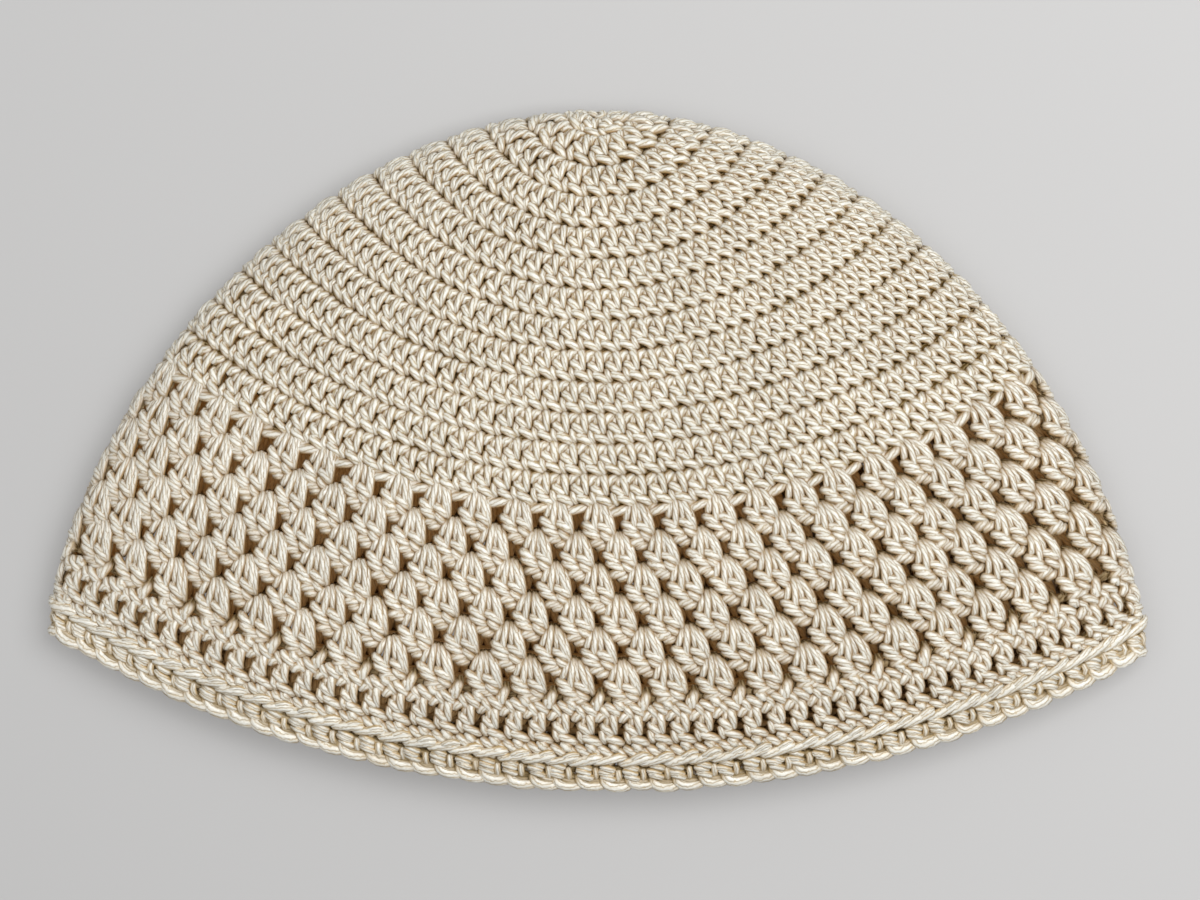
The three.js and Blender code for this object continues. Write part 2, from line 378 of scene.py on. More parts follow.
def chain_ridge() -> tuple[Strand, ...]:
    """The strands of the raised chain: one long slant after another, and the loop that carries it.

    Returns:
        Strands from the front to the backing.
    """
    return (
        Strand("slant", 1.35, (
            (-0.25, 0.86, 0.3), (-0.10, 0.83, 1.2), (0.28, 0.68, 1.75), (0.72, 0.48, 1.95),
            (1.04, 0.35, 1.6), (1.22, 0.36, 0.5)), Layer.LONG),
        Strand("upper slant", 0.85, (
            (0.32, 0.62, 0.6), (0.52, 0.42, 1.55), (0.80, 0.14, 1.75), (1.02, 0.04, 1.5),
            (1.20, 0.20, 0.5))),
        Strand("carrier", 1.05, (
            (0.30, -0.10, -0.6), (0.42, 0.30, 0.5), (0.52, 0.75, 0.7), (0.60, 1.10, 0.0)), Layer.SHORT),
        Strand("inner loop", 1.0, (
            (-0.05, 0.60, -0.6), (0.50, 0.40, -1.0), (1.05, 0.60, -0.6)), Layer.BACKING),
    )


def edging_loop() -> tuple[Strand, ...]:
    """The strands of the edging: a post of three coils, a pocket beside it with a bar, and backing.

    Returns:
        Strands from the front to the backing.
    """
    coil = Strand("coil", 1.02, (
        (-0.08, -0.10, -0.5), (-0.04, -0.06, 0.5), (0.08, 0.0, 1.05),
        (0.30, 0.07, 1.15), (0.47, 0.15, 0.6), (0.53, 0.19, -0.4)), Layer.SHORT, level=0.7)
    shifts = ((0.03, 0.12), (-0.03, 0.39), (0.04, 0.66))
    return tuple(coil.moved(aside, below) for aside, below in shifts) + (
        Strand("bar", 0.95, (
            (0.70, 0.12, -0.4), (0.72, 0.28, 0.5), (0.74, 0.54, 0.8),
            (0.75, 0.80, 0.5), (0.76, 1.0, -0.4)), Layer.SHORT),
        Strand("inner post", 1.2, (
            (0.25, 0.0, -0.6), (0.32, 0.50, -1.0), (0.40, 1.0, -0.6)), Layer.BACKING),
        Strand("inner loop", 1.15, (
            (-0.05, 0.85, -0.2), (0.50, 0.72, -0.1), (1.05, 0.85, -0.2)), Layer.BACKING),
        Strand("upper inner loop", 1.15, (
            (-0.05, 0.30, -0.3), (0.50, 0.26, -0.1), (1.05, 0.30, -0.3)), Layer.BACKING),
    )


def bottom_chain() -> tuple[Strand, ...]:
    """The strands of the last chain, which hang below the edging like a row of flat loops.

    Returns:
        Strands from the front to the backing.
    """
    return (
        Strand("outer loop", 1.38, (
            (-0.08, -0.50, -0.2), (-0.06, -0.16, 0.7), (0.09, 0.32, 0.95), (0.40, 0.58, 0.9),
            (0.76, 0.54, 0.8), (1.00, 0.38, 0.3), (1.12, 0.24, -0.4)), Layer.LONG),
        Strand("second loop", 0.9, (
            (0.10, -0.34, -0.4), (0.20, -0.20, 0.2), (0.36, -0.06, 0.4), (0.60, 0.02, 0.4),
            (0.84, 0.0, 0.1), (1.0, -0.10, -0.4))),
        Strand("core", 1.15, (
            (-0.06, -0.05, 0.0), (0.30, 0.10, 0.1), (0.70, 0.12, 0.1), (1.06, -0.02, 0.0)), Layer.BACKING),
        Strand("inner loop", 1.05, (
            (-0.10, 0.10, -0.4), (0.20, 0.46, -0.8), (0.65, 0.50, -0.8), (1.05, 0.20, -0.4)), Layer.SHORT),
    )


@dataclass(frozen=True)
class SectionEnd:
    """Where a worked section ends: its last round and its runs from the crown edge, in mm."""

    ends: str
    last: float
    middle: float
    fold: float


@dataclass
class CapForm:
    """The wall of the folded cap, as the solids have it, and where yarn lies on it."""

    half_width: float
    crown_y: float
    rim_drop: float
    top_height: float
    widest_drop: float = 132.5
    outline_rise: float = 1.6
    outline_spread: float = 0.512
    back_share: float = 0.985
    rim_lean: float = 2.6
    lean_rounds: tuple[float, float] = (8.0, 19.0)
    wall: float = 3.8
    fold_height: float = 7.0
    rim_height: float = 14.0
    rise_run: float = 75.0
    fall_run: float = 105.0
    fall_power: float = 3.2
    camber: float = 2.3
    fold_turn: float = 12.0
    least_flat: float = 0.4
    floor_clearance: float = 0.05
    first: float = 0.1
    step: float = 0.075
    columns: int = 900
    line_points: int = 401
    most_slope: float = 0.6
    sections: tuple[SectionEnd, ...] = (
        SectionEnd("centre ring", 0, 0.0, 0.0),
        SectionEnd("first round", 1, 5.4, 8.1),
        SectionEnd("crown", 13, 96.5, 128.6),
        SectionEnd("openwork", 19, 143.5, 181.3),
        SectionEnd("upper single crochet", 20, 147.5, 185.7),
        SectionEnd("spaced double crochet", 21, 154.8, 193.0),
        SectionEnd("lower single crochet", 22, 157.5, 194.8),
        SectionEnd("ridge", 23, 160.2, 197.4),
        SectionEnd("edging", 24, 164.4, 201.6),
        SectionEnd("bottom chain", 25, 166.8, 204.4),
    )
    rounds: np.ndarray = field(init=False)
    lengths: np.ndarray = field(init=False)
    middles: np.ndarray = field(init=False)
    halves: np.ndarray = field(init=False)
    normals: np.ndarray = field(init=False)
    arounds: np.ndarray = field(init=False)
    downs: np.ndarray = field(init=False)

    def __post_init__(self) -> None:
        """Works out the tables of the wall's middle surface, half thickness and outward normal.

        The table is a grid of rounds by shares. The shares are even lengths along each loop in the
        middle of the wall. The normal is the cross product of the steps along the two directions.
        """
        last = self.sections[-1].last
        self.rounds = np.arange(self.first, last + self.step, self.step)
        turns = np.linspace(0.0, 2.0 * math.pi, 2 * self.columns + 1)[None, :]
        loops = self.wall_point(self.rounds[:, None], turns, self.wall / 2)
        steps = np.linalg.norm(np.diff(loops, axis=1), axis=2)
        runs = np.concatenate([np.zeros((len(steps), 1)), np.cumsum(steps, axis=1)], axis=1)
        self.lengths = runs[:, -1]
        shares = np.linspace(0.0, 1.0, self.columns + 1)
        even = np.stack([np.interp(shares, run / run[-1], turns[0]) for run in runs])
        outside = self.wall_point(self.rounds[:, None], even, 0.0)
        inside = self.wall_point(self.rounds[:, None], even, self.wall)
        self.middles = (outside + inside) / 2
        self.halves = (outside - inside) / 2
        around = np.gradient(self.middles, axis=1)
        around[:, 0] = around[:, -1] = self.middles[:, 1] - self.middles[:, -2]
        down = np.gradient(self.middles, axis=0)
        normals = np.cross(down, around)
        self.normals = normals / np.linalg.norm(normals, axis=2, keepdims=True)
        self.arounds = around / np.linalg.norm(around, axis=2, keepdims=True)
        self.downs = down / self.step

    @classmethod
    def from_box(cls, low: np.ndarray, high: np.ndarray) -> "CapForm":
        """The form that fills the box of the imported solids.

        Args:
            low: Lowest corner, in metres.
            high: Highest corner, in metres.

        Returns:
            The form, with its main sizes taken from the box.
        """
        reach = (high - low) / MM
        return cls(half_width=reach[0] / 2, crown_y=high[1] / MM, rim_drop=reach[1], top_height=reach[2])

    def fold_line(self) -> tuple[np.ndarray, np.ndarray, np.ndarray]:
        """The outline from the crown edge to the widest level.

        Half the width grows with the drop d, as a share of the widest drop, as
        (1 - (1 - d) ** rise) ** spread.

        Returns:
            Run along the line, half the width and the drop, in mm.
        """
        share = np.linspace(0.0, 1.0, self.line_points) ** 2
        half = self.half_width * (1 - (1 - share) ** self.outline_rise) ** self.outline_spread
        drop = self.widest_drop * share
        steps = np.hypot(np.diff(half), np.diff(drop))
        return np.concatenate([[0.0], np.cumsum(steps)]), half, drop

    def front_height(self, middle: np.ndarray) -> np.ndarray:
        """Height of the front layer along its middle: a quarter circle up, then a late fall to the rim.

        Args:
            middle: Run from the crown edge along the middle, in mm.

        Returns:
            Heights of the outside over the floor, in mm.
        """
        rise = np.clip(middle / self.rise_run, 0, 1)
        fall = np.clip((middle - self.fall_run) / (self.rim_drop - self.fall_run), 0, 1)
        arch = self.fold_height + (self.top_height - self.fold_height) * np.sqrt(1 - (1 - rise) ** 2)
        return arch - (self.top_height - self.rim_height) * fall**self.fall_power

    def wall_point(self, rounds: np.ndarray, turns: np.ndarray, depth: float) -> np.ndarray:
        """Points of the wall, for arrays of rounds and turns that fit each other.

        Seen from above, a round is a circular arc through the two folds and the middle. From the side
        it is a lens: arched on the front layer, and flat with curled ends on the back layer.

        Args:
            rounds: Rounds from the centre of the crown.
            turns: Angles round the loop, 0 at the middle of the front and a quarter at the right fold.
            depth: Depth below the outside, in mm.

        Returns:
            An array of the broadcast shape by (x, y, z), in mm.
        """
        table = np.array([(row.last, row.middle, row.fold) for row in self.sections])
        rounds, turns = np.broadcast_arrays(rounds, turns)
        front = np.cos(turns) >= 0
        across = np.sin(turns)
        middle = np.interp(rounds, table[:, 0], table[:, 1]) * np.where(front, 1.0, self.back_share)
        run, half, drop = self.fold_line()
        fold = np.interp(rounds, table[:, 0], table[:, 2])
        chord = np.interp(fold, run, half) * (self.half_width - depth) / self.half_width
        fold_drop = np.interp(fold, run, drop) * (self.widest_drop - depth) / self.widest_drop
        fold_y = self.crown_y - depth - fold_drop
        middle_y = self.crown_y - depth - middle * (self.rim_drop - depth) / self.rim_drop
        sag = fold_y - middle_y
        radius = (chord**2 + sag**2) / (2 * sag)
        spread = np.arctan2(chord, radius - sag)
        x = radius * np.sin(across * spread)
        start, end = self.lean_rounds
        lean = self.rim_lean * np.clip((rounds - start) / (end - start), 0, 1)
        y = middle_y + radius * (1 - np.cos(across * spread)) - lean * x / self.half_width
        arch = np.sqrt(np.maximum(0.0, 1 - np.abs(across) ** self.camber))
        front_z = self.fold_height + (self.front_height(middle) - depth - self.fold_height) * arch
        flat = np.maximum(self.least_flat, 1 - self.fold_turn / (radius * spread))
        curl = np.clip((np.abs(across) - flat) / (1 - flat), 0, 1)
        near = np.clip(1 - middle / self.fold_turn, 0, 1)
        back = depth + (self.fold_height - depth) * (1 - np.sqrt(1 - near**2))
        back_z = self.fold_height - (self.fold_height - back) * np.sqrt(1 - curl**2)
        return np.stack([x, y, np.where(front, front_z, back_z)], axis=-1)

    def read(self, table: np.ndarray, rounds: np.ndarray, shares: np.ndarray) -> np.ndarray:
        """Reads a table between its four nearest entries.

        Args:
            table: One of the form's tables, rounds by shares by (x, y, z).
            rounds: Rounds to read it at.
            shares: Shares to read it at, which wrap round.

        Returns:
            An array of the given shape by (x, y, z).
        """
        just_short = len(self.rounds) - 1.001
        row = np.clip((rounds - self.first) / self.step, 0, just_short)
        column = np.mod(shares, 1.0) * self.columns
        top = row.astype(int)
        left = np.minimum(column.astype(int), self.columns - 1)
        below = (row - top)[..., None]
        aside = (column - left)[..., None]
        upper = table[top, left] * (1 - aside) + table[top, left + 1] * aside
        lower = table[top + 1, left] * (1 - aside) + table[top + 1, left + 1] * aside
        return upper * (1 - below) + lower * below

    def slope(self, rounds: np.ndarray, shares: np.ndarray) -> np.ndarray:
        """How much a round rises over the lying cap, in rounds for each mm along it.

        The rise is the step in y over the step across, held within the most slope. Divided by the
        height of a round, it is in rounds.

        Args:
            rounds: Rounds to read it at.
            shares: Shares to read it at.

        Returns:
            An array of the given shape.
        """
        around = self.read(self.arounds, rounds, shares)
        rise = around[..., 1] / np.maximum(np.hypot(around[..., 0], around[..., 2]), TINY)
        held = np.clip(rise, -self.most_slope, self.most_slope)
        return held / np.linalg.norm(self.read(self.downs, rounds, shares), axis=-1)

    def loop_length(self, rounds: np.ndarray) -> np.ndarray:
        """Length of the loop at the given rounds, in mm."""
        return np.interp(rounds, self.rounds, self.lengths)


@dataclass(frozen=True)
class Cells:
    """Where stitches sit on the wall, one entry of each array for each stitch.

    A further shift on the back layer starts at BACK_REACH of the loop from that layer's middle, just
    before the folds, and is complete after BACK_BLEND of the loop.
    """

    BACK_REACH: ClassVar[float] = 0.31
    BACK_BLEND: ClassVar[float] = 0.12
    top: np.ndarray
    height: np.ndarray
    start: np.ndarray
    pitch: np.ndarray

    @classmethod
    def of_round(
        cls, top: float, count: int, shift: float, height: float = 1.0, back_shift: float = 0.0,
        crowd: float = 0.0,
    ) -> "Cells":
        """Cells of one round, even or crowded towards the folds.

        Crowded cells take the share u + crowd * sin(4 pi u) / (4 pi) instead of the even share u. The
        further shift on the back layer comes in as 3 b ** 2 - 2 b ** 3, with b from 0 to 1.

        Args:
            top: Round at which the cells start.
            count: Stitches in the round.
            shift: Shift of the first stitch, in pitches.
            height: Rounds that a cell reaches down.
            back_shift: Further shift on the back layer, in pitches, which comes in over the folds.
            crowd: How much wider than the common one the pitch is in the middle of a layer.

        Returns:
            The cells.
        """
        even = (np.arange(count) + shift) / count
        start = even + crowd * np.sin(4 * math.pi * even) / (4 * math.pi)
        from_back = np.abs(np.mod(start, 1.0) - 0.5)
        into_back = np.clip((cls.BACK_REACH - from_back) / cls.BACK_BLEND, 0.0, 1.0)
        start = start + back_shift * into_back**2 * (3 - 2 * into_back) / count
        pitch = (1 + crowd * np.cos(4 * math.pi * even)) / count
        return cls(np.full(count, float(top)), np.full(count, float(height)), start, pitch)

    def among(self, chosen: np.ndarray | slice) -> "Cells":
        """The cells that are chosen."""
        return Cells(self.top[chosen], self.height[chosen], self.start[chosen], self.pitch[chosen])

    @classmethod
    def joined(cls, many: list["Cells"]) -> "Cells":
        """The cells of several rounds in one."""
        columns = ("top", "height", "start", "pitch")
        return cls(*(np.concatenate([getattr(cells, name) for cells in many]) for name in columns))


@dataclass
class Yarn:
    """The yarn that all stitches are worked with, and how unevenly it is worked.

    Radius, cell, pitch and longest start, within which the plies of a strand begin, are in mm. Flat and
    wide scale the profile. Falling is the share of levelling on a round that falls. Fold_open and
    proud_open give how the sides of a strand open towards the folds and where it stands out, and
    edge_rounds and lip count the rounds at the rim that are open and that show from inside.
    """

    radius: float = 0.82
    flat: float = 0.94
    wide: float = 1.18
    taper: float = 0.5
    cell: tuple[float, float] = (5.0, 7.6)
    common_pitch: float = 4.6
    least_thick: float = 0.86
    shoulder: float = 0.45
    groove: float = 0.28
    falling: float = 0.2
    end_power: int = 6
    longest_start: float = 40.0
    fold_open: tuple[float, float] = (1.25, 0.1)
    edge_rounds: float = 0.5
    proud_open: tuple[float, float, float] = (2.2, 0.8, 0.6)
    lip: float = 1.6
    stitch_wander: tuple[float, float] = (0.022, 0.012)
    strand_wander: tuple[float, float, float] = (0.012, 0.010, 0.06)
    thick_wander: float = 0.045
    tint_wander: float = 0.4


@dataclass(frozen=True)
class Tubes:
    """Tubes of one kind: corners, lengths along, height in the wall, openness and tint of each strand."""

    points: np.ndarray
    runs: np.ndarray
    crests: np.ndarray
    edges: np.ndarray
    tints: np.ndarray


class YarnPiece:
    """Collects strands and makes one mesh of them.

    On the sheet for baking, a strand's cell has its unrolled tube as a strip and its two ends as discs.
    """

    STRIP_START = 0.04
    STRIP_SIZE = (0.80, 0.92)
    DISC_RADIUS = 0.05
    DISC_CENTRES = ((0.92, 0.25), (0.92, 0.75))

    def __init__(self, name: str, form: CapForm, yarn: Yarn, seed: int) -> None:
        """Starts an empty piece.

        Args:
            name: Name of the mesh object.
            form: The wall that the strands lie on.
            yarn: The yarn.
            seed: Seed of the piece's unevenness.
        """
        self.name = name
        self.form = form
        self.yarn = yarn
        self.random = np.random.default_rng(seed)
        self.tubes: list[Tubes] = []

    def work(self, strands: tuple[Strand, ...], cells: Cells) -> None:
        """Works every strand of a stitch in every cell.

        Args:
            strands: The stitch.
            cells: Where to work it.
        """
        wander = self.random.normal(size=(len(cells.top), 2)) * self.yarn.stitch_wander
        for strand in strands:
            self.lay(strand, cells, wander)

    def lay(self, strand: Strand, cells: Cells, wander: np.ndarray) -> None:
        """Lays one strand of a stitch in every cell.

        The way's across, down and lift give the share, the round and the offset from the middle of
        the wall. Lift 1 brings the yarn's surface, not its core, to the outside. Towards both edges
        of its round the strand sinks by groove * (1 - sin(pi * down)) ** 2.

        Args:
            strand: The strand.
            cells: Where to lay it.
            wander: Shift of each stitch, in pitches and rounds.
        """
        form, yarn = self.form, self.yarn
        count = len(cells.top)
        way = strand.way(yarn.cell)
        own = self.random.normal(size=(count, 3)) * yarn.strand_wander
        across = way[None, :, 0] + (wander[:, 0] + own[:, 0])[:, None]
        down = way[None, :, 1] + (wander[:, 1] + own[:, 1])[:, None]
        edge = 1 - np.sin(math.pi * np.clip(way[:, 1], 0.0, 1.0))
        lift = way[None, :, 2] - yarn.groove * edge**2 + own[:, 2][:, None]
        rounds = cells.top[:, None] + down * cells.height[:, None]
        shares = cells.start[:, None] + across * cells.pitch[:, None]
        pitch = form.loop_length(rounds) * cells.pitch[:, None]
        slope = form.slope(rounds, shares).mean(axis=1, keepdims=True)
        level = strand.level * np.maximum(slope, yarn.falling * slope)
        rounds = rounds + level * (across - across.mean(axis=1, keepdims=True)) * pitch
        slim = np.clip(np.sqrt(pitch / yarn.common_pitch), yarn.least_thick, 1.0)
        thick = 1 + yarn.thick_wander * self.random.normal(size=(count, 1))
        thinned = 1 - strand.thin * np.linspace(0.0, 1.0, len(way))
        radii = yarn.radius * strand.thick * slim * thick * thinned
        self.tube(rounds, shares, lift, radii, strand.layer.sides)

    def tube(
        self, rounds: np.ndarray, shares: np.ndarray, lift: np.ndarray, radii: np.ndarray, sides: int
    ) -> None:
        """Carries a slightly flat round profile along each way and keeps the tubes.

        A corner is the core plus the radius times cos(a) along the side and sin(a) along the wall's
        normal. The radius shrinks to both ends as 1 - taper * |2 spot - 1| ** end_power. The back layer
        is pressed flat, so no strand lifts past 1 there. The sides of a strand, where |sin(a)| is low,
        count as closed by its neighbours, and as open along the folds, on the last half round and
        where it stands out. Closed and low-lying places get painted shade in the shader. The inside of
        the last rounds shows at the mouth and counts as outside; the rest of the inside gets a painted
        warm bounce colour and a faint painted glow.

        Args:
            rounds: Round of each ring, strands by rings.
            shares: Share of each ring.
            lift: Lift of each ring.
            radii: Radius of each ring, in mm.
            sides: Corners of the profile.
        """
        form, yarn = self.form, self.yarn
        normal = form.read(form.normals, rounds, shares)
        lift = lift - np.maximum(lift - 1, 0.0) * np.clip(-normal[..., 2], 0.0, 1.0)
        room = (1 - radii / (form.wall / 2))[..., None]
        core = form.read(form.middles, rounds, shares)
        core = core + form.read(form.halves, rounds, shares) * lift[..., None] * room
        along = np.gradient(core, axis=1)
        along /= np.linalg.norm(along, axis=2, keepdims=True)
        side = np.cross(along, normal)
        side /= np.maximum(np.linalg.norm(side, axis=2, keepdims=True), TINY)
        up = np.cross(side, along)
        spot = np.linspace(0.0, 1.0, rounds.shape[1])
        shrunk = radii * (1 - yarn.taper * np.abs(2 * spot - 1) ** yarn.end_power)
        angle = 2 * math.pi * (np.arange(sides) + 0.5) / sides
        sideways = yarn.wide * np.cos(angle)[:, None] * side[:, :, None]
        spoke = sideways + yarn.flat * np.sin(angle)[:, None] * up[:, :, None]
        points = core[:, :, None] + shrunk[..., None, None] * spoke
        points[..., 2] = np.maximum(points[..., 2], form.floor_clearance)
        steps = np.linalg.norm(np.diff(core, axis=1), axis=2)
        runs = np.concatenate([np.zeros((len(steps), 1)), np.cumsum(steps, axis=1)], axis=1)
        runs += self.random.uniform(0.0, yarn.longest_start, size=(len(steps), 1))
        outer = lift[..., None] + yarn.shoulder * (np.sin(angle) - 1)
        inner = -lift[..., None] - yarn.shoulder * (np.sin(angle) + 1)
        hidden = (inner > outer) & (rounds < form.rounds[-1] - yarn.lip)[..., None]
        crests = np.where(hidden, -1 - np.clip(inner, 0.0, 1.0), np.maximum(outer, inner))
        gain, cut = yarn.fold_open
        closed = np.clip(gain * np.abs(normal[..., 2:]) - cut, 0.0, 1.0)
        to_edge = (form.rounds[-1] - yarn.edge_rounds - rounds) / yarn.edge_rounds
        closed = closed * np.clip(to_edge, 0.0, 1.0)[..., None]
        level, fall, least = yarn.proud_open
        closed = closed * np.clip(level - fall * lift, least, 1.0)[..., None]
        edges = 1 - closed * (1 - np.abs(np.sin(angle)))
        tints = self.random.normal(size=len(steps)) * yarn.tint_wander
        self.tubes.append(Tubes(points, runs, np.broadcast_to(crests, points.shape[:3]), edges, tints))

    def mesh(self) -> bpy.types.Object:
        """Makes the mesh of all the strands.

        Quads join neighbouring rings, and a flat cap closes each end. One UV map has the length along
        the yarn and the way round it. The other gives each strand a cell of its own on a square sheet.

        Returns:
            The new object, at the origin.
        """
        sheet = math.ceil(math.sqrt(sum(len(tubes.points) for tubes in self.tubes)))
        vertex_ids, sizes, yarn_uv, bake_uv = [], [], [], []
        first_vertex = first_strand = 0
        for tubes in self.tubes:
            count, rings, sides, _ = tubes.points.shape
            ids = first_vertex + np.arange(count * rings * sides).reshape(count, rings, sides)
            strand = first_strand + np.arange(count)
            place = np.stack([strand % sheet, strand // sheet], axis=1) / sheet
            ring, side = np.meshgrid(np.arange(rings - 1), np.arange(sides), indexing="ij")
            rings_of = np.stack([ring, ring + 1, ring + 1, ring], axis=-1)
            sides_of = np.stack([side, side, side + 1, side + 1], axis=-1)
            quads = ids[:, rings_of, sides_of % sides].reshape(-1)
            along = tubes.runs[:, rings_of]
            round_it = np.broadcast_to((sides_of + 0.5) / sides, along.shape)
            unrolled = np.stack([rings_of / (rings - 1), sides_of / sides], axis=-1)
            strip = self.STRIP_START + np.array(self.STRIP_SIZE) * unrolled
            vertex_ids.append(quads)
            sizes.append(np.full(len(quads) // 4, 4))
            yarn_uv.append(np.stack([along, round_it], axis=-1).reshape(-1, 2))
            bake_uv.append((place[:, None, None, None] + strip / sheet).reshape(-1, 2))
            angle = 2 * math.pi * np.arange(sides) / sides
            disc = np.stack([np.cos(angle), np.sin(angle)], axis=1) * self.DISC_RADIUS
            for end, order, centre in zip((0, rings - 1), (1, -1), self.DISC_CENTRES):
                vertex_ids.append(ids[:, end, ::order].reshape(-1))
                sizes.append(np.full(count, sides))
                along = np.repeat(tubes.runs[:, end], sides)
                round_end = np.tile((np.arange(sides)[::order] + 0.5) / sides, count)
                yarn_uv.append(np.stack([along, round_end], axis=1))
                bake_uv.append((place[:, None] + (disc[::order] + np.array(centre)) / sheet).reshape(-1, 2))
            first_vertex += count * rings * sides
            first_strand += count
        sizes = np.concatenate(sizes)
        starts = np.concatenate([[0], np.cumsum(sizes)[:-1]])
        points = np.concatenate([tubes.points.reshape(-1, 3) for tubes in self.tubes]) * MM

        mesh = bpy.data.meshes.new(self.name)
        mesh.vertices.add(len(points))
        mesh.vertices.foreach_set("co", points.astype(np.float32).reshape(-1))
        mesh.loops.add(int(sizes.sum()))
        mesh.loops.foreach_set("vertex_index", np.concatenate(vertex_ids).astype(np.int32))
        mesh.polygons.add(len(sizes))
        mesh.polygons.foreach_set("loop_start", starts.astype(np.int32))
        mesh.polygons.foreach_set("use_smooth", np.ones(len(sizes), dtype=bool))
        for name, layers in ((YARN_MAP, yarn_uv), (BAKE_MAP, bake_uv)):
            layer = mesh.uv_layers.new(name=name)
            layer.data.foreach_set("uv", np.concatenate(layers).astype(np.float32).reshape(-1))
        crests = [tubes.crests.reshape(-1) for tubes in self.tubes]
        edges = [tubes.edges.reshape(-1) for tubes in self.tubes]
        tints = [np.repeat(tubes.tints, math.prod(tubes.points.shape[1:3])) for tubes in self.tubes]
        for name, values in ((CREST, crests), (EDGE, edges), (TINT, tints)):
            attribute = mesh.attributes.new(name, "FLOAT", "POINT")
            attribute.data.foreach_set("value", np.concatenate(values).astype(np.float32))
        mesh.update(calc_edges=True)
        mesh.validate()
        made = bpy.data.objects.new(self.name, mesh)
        bpy.context.scene.collection.objects.link(made)
        return made


class NodeSheet:
    """Adds nodes to a node tree and links them."""

    def __init__(self, tree: bpy.types.NodeTree) -> None:
        """Works on an empty tree."""
        self.tree = tree
        tree.nodes.clear()

    def add(
        self, kind: str, inputs: dict[str | int, object] | None = None, **settings: object
    ) -> bpy.types.Node:
        """Adds a node.

        Args:
            kind: Type of the node, without the common first part of its name.
            inputs: Values or sockets for its inputs, by name or number.
            settings: Properties of the node.

        Returns:
            The node.
        """
        node = self.tree.nodes.new("ShaderNode" + kind)
        for name, value in settings.items():
            setattr(node, name, value)
        for key, value in (inputs or {}).items():
            self.feed(node.inputs[key], value)
        return node

    def feed(self, target: bpy.types.NodeSocket, value: object) -> None:
        """Links a socket to the target, or sets a value on it.

        Args:
            target: The input socket.
            value: An output socket, or the value.
        """
        if isinstance(value, bpy.types.NodeSocket):
            self.tree.links.new(value, target)
        else:
            target.default_value = value

    def math(self, operation: str, *operands: object) -> bpy.types.NodeSocket:
        """The result of a Math node for the given sockets or numbers."""
        return self.add("Math", dict(enumerate(operands)), operation=operation).outputs[0]

    def remap(
        self, value: object, low: float, high: float, to_low: float = 0.0, to_high: float = 1.0
    ) -> bpy.types.NodeSocket:
        """The value moved smoothly from one range to another and held at its ends."""
        inputs = {0: value, 1: low, 2: high, 3: to_low, 4: to_high}
        return self.add("MapRange", inputs, interpolation_type="SMOOTHSTEP").outputs[0]

    def blend(self, share: object, low: object, high: object) -> bpy.types.NodeSocket:
        """A mix of two colours, with the colour sockets of the Mix node."""
        inputs = {0: share, 6: low, 7: high}
        return self.add("Mix", inputs, data_type="RGBA", clamp_factor=True).outputs[2]

    def scaled(self, colour: object, share: object) -> bpy.types.NodeSocket:
        """A colour times a share."""
        return self.add("VectorMath", {0: colour, "Scale": share}, operation="SCALE").outputs[0]


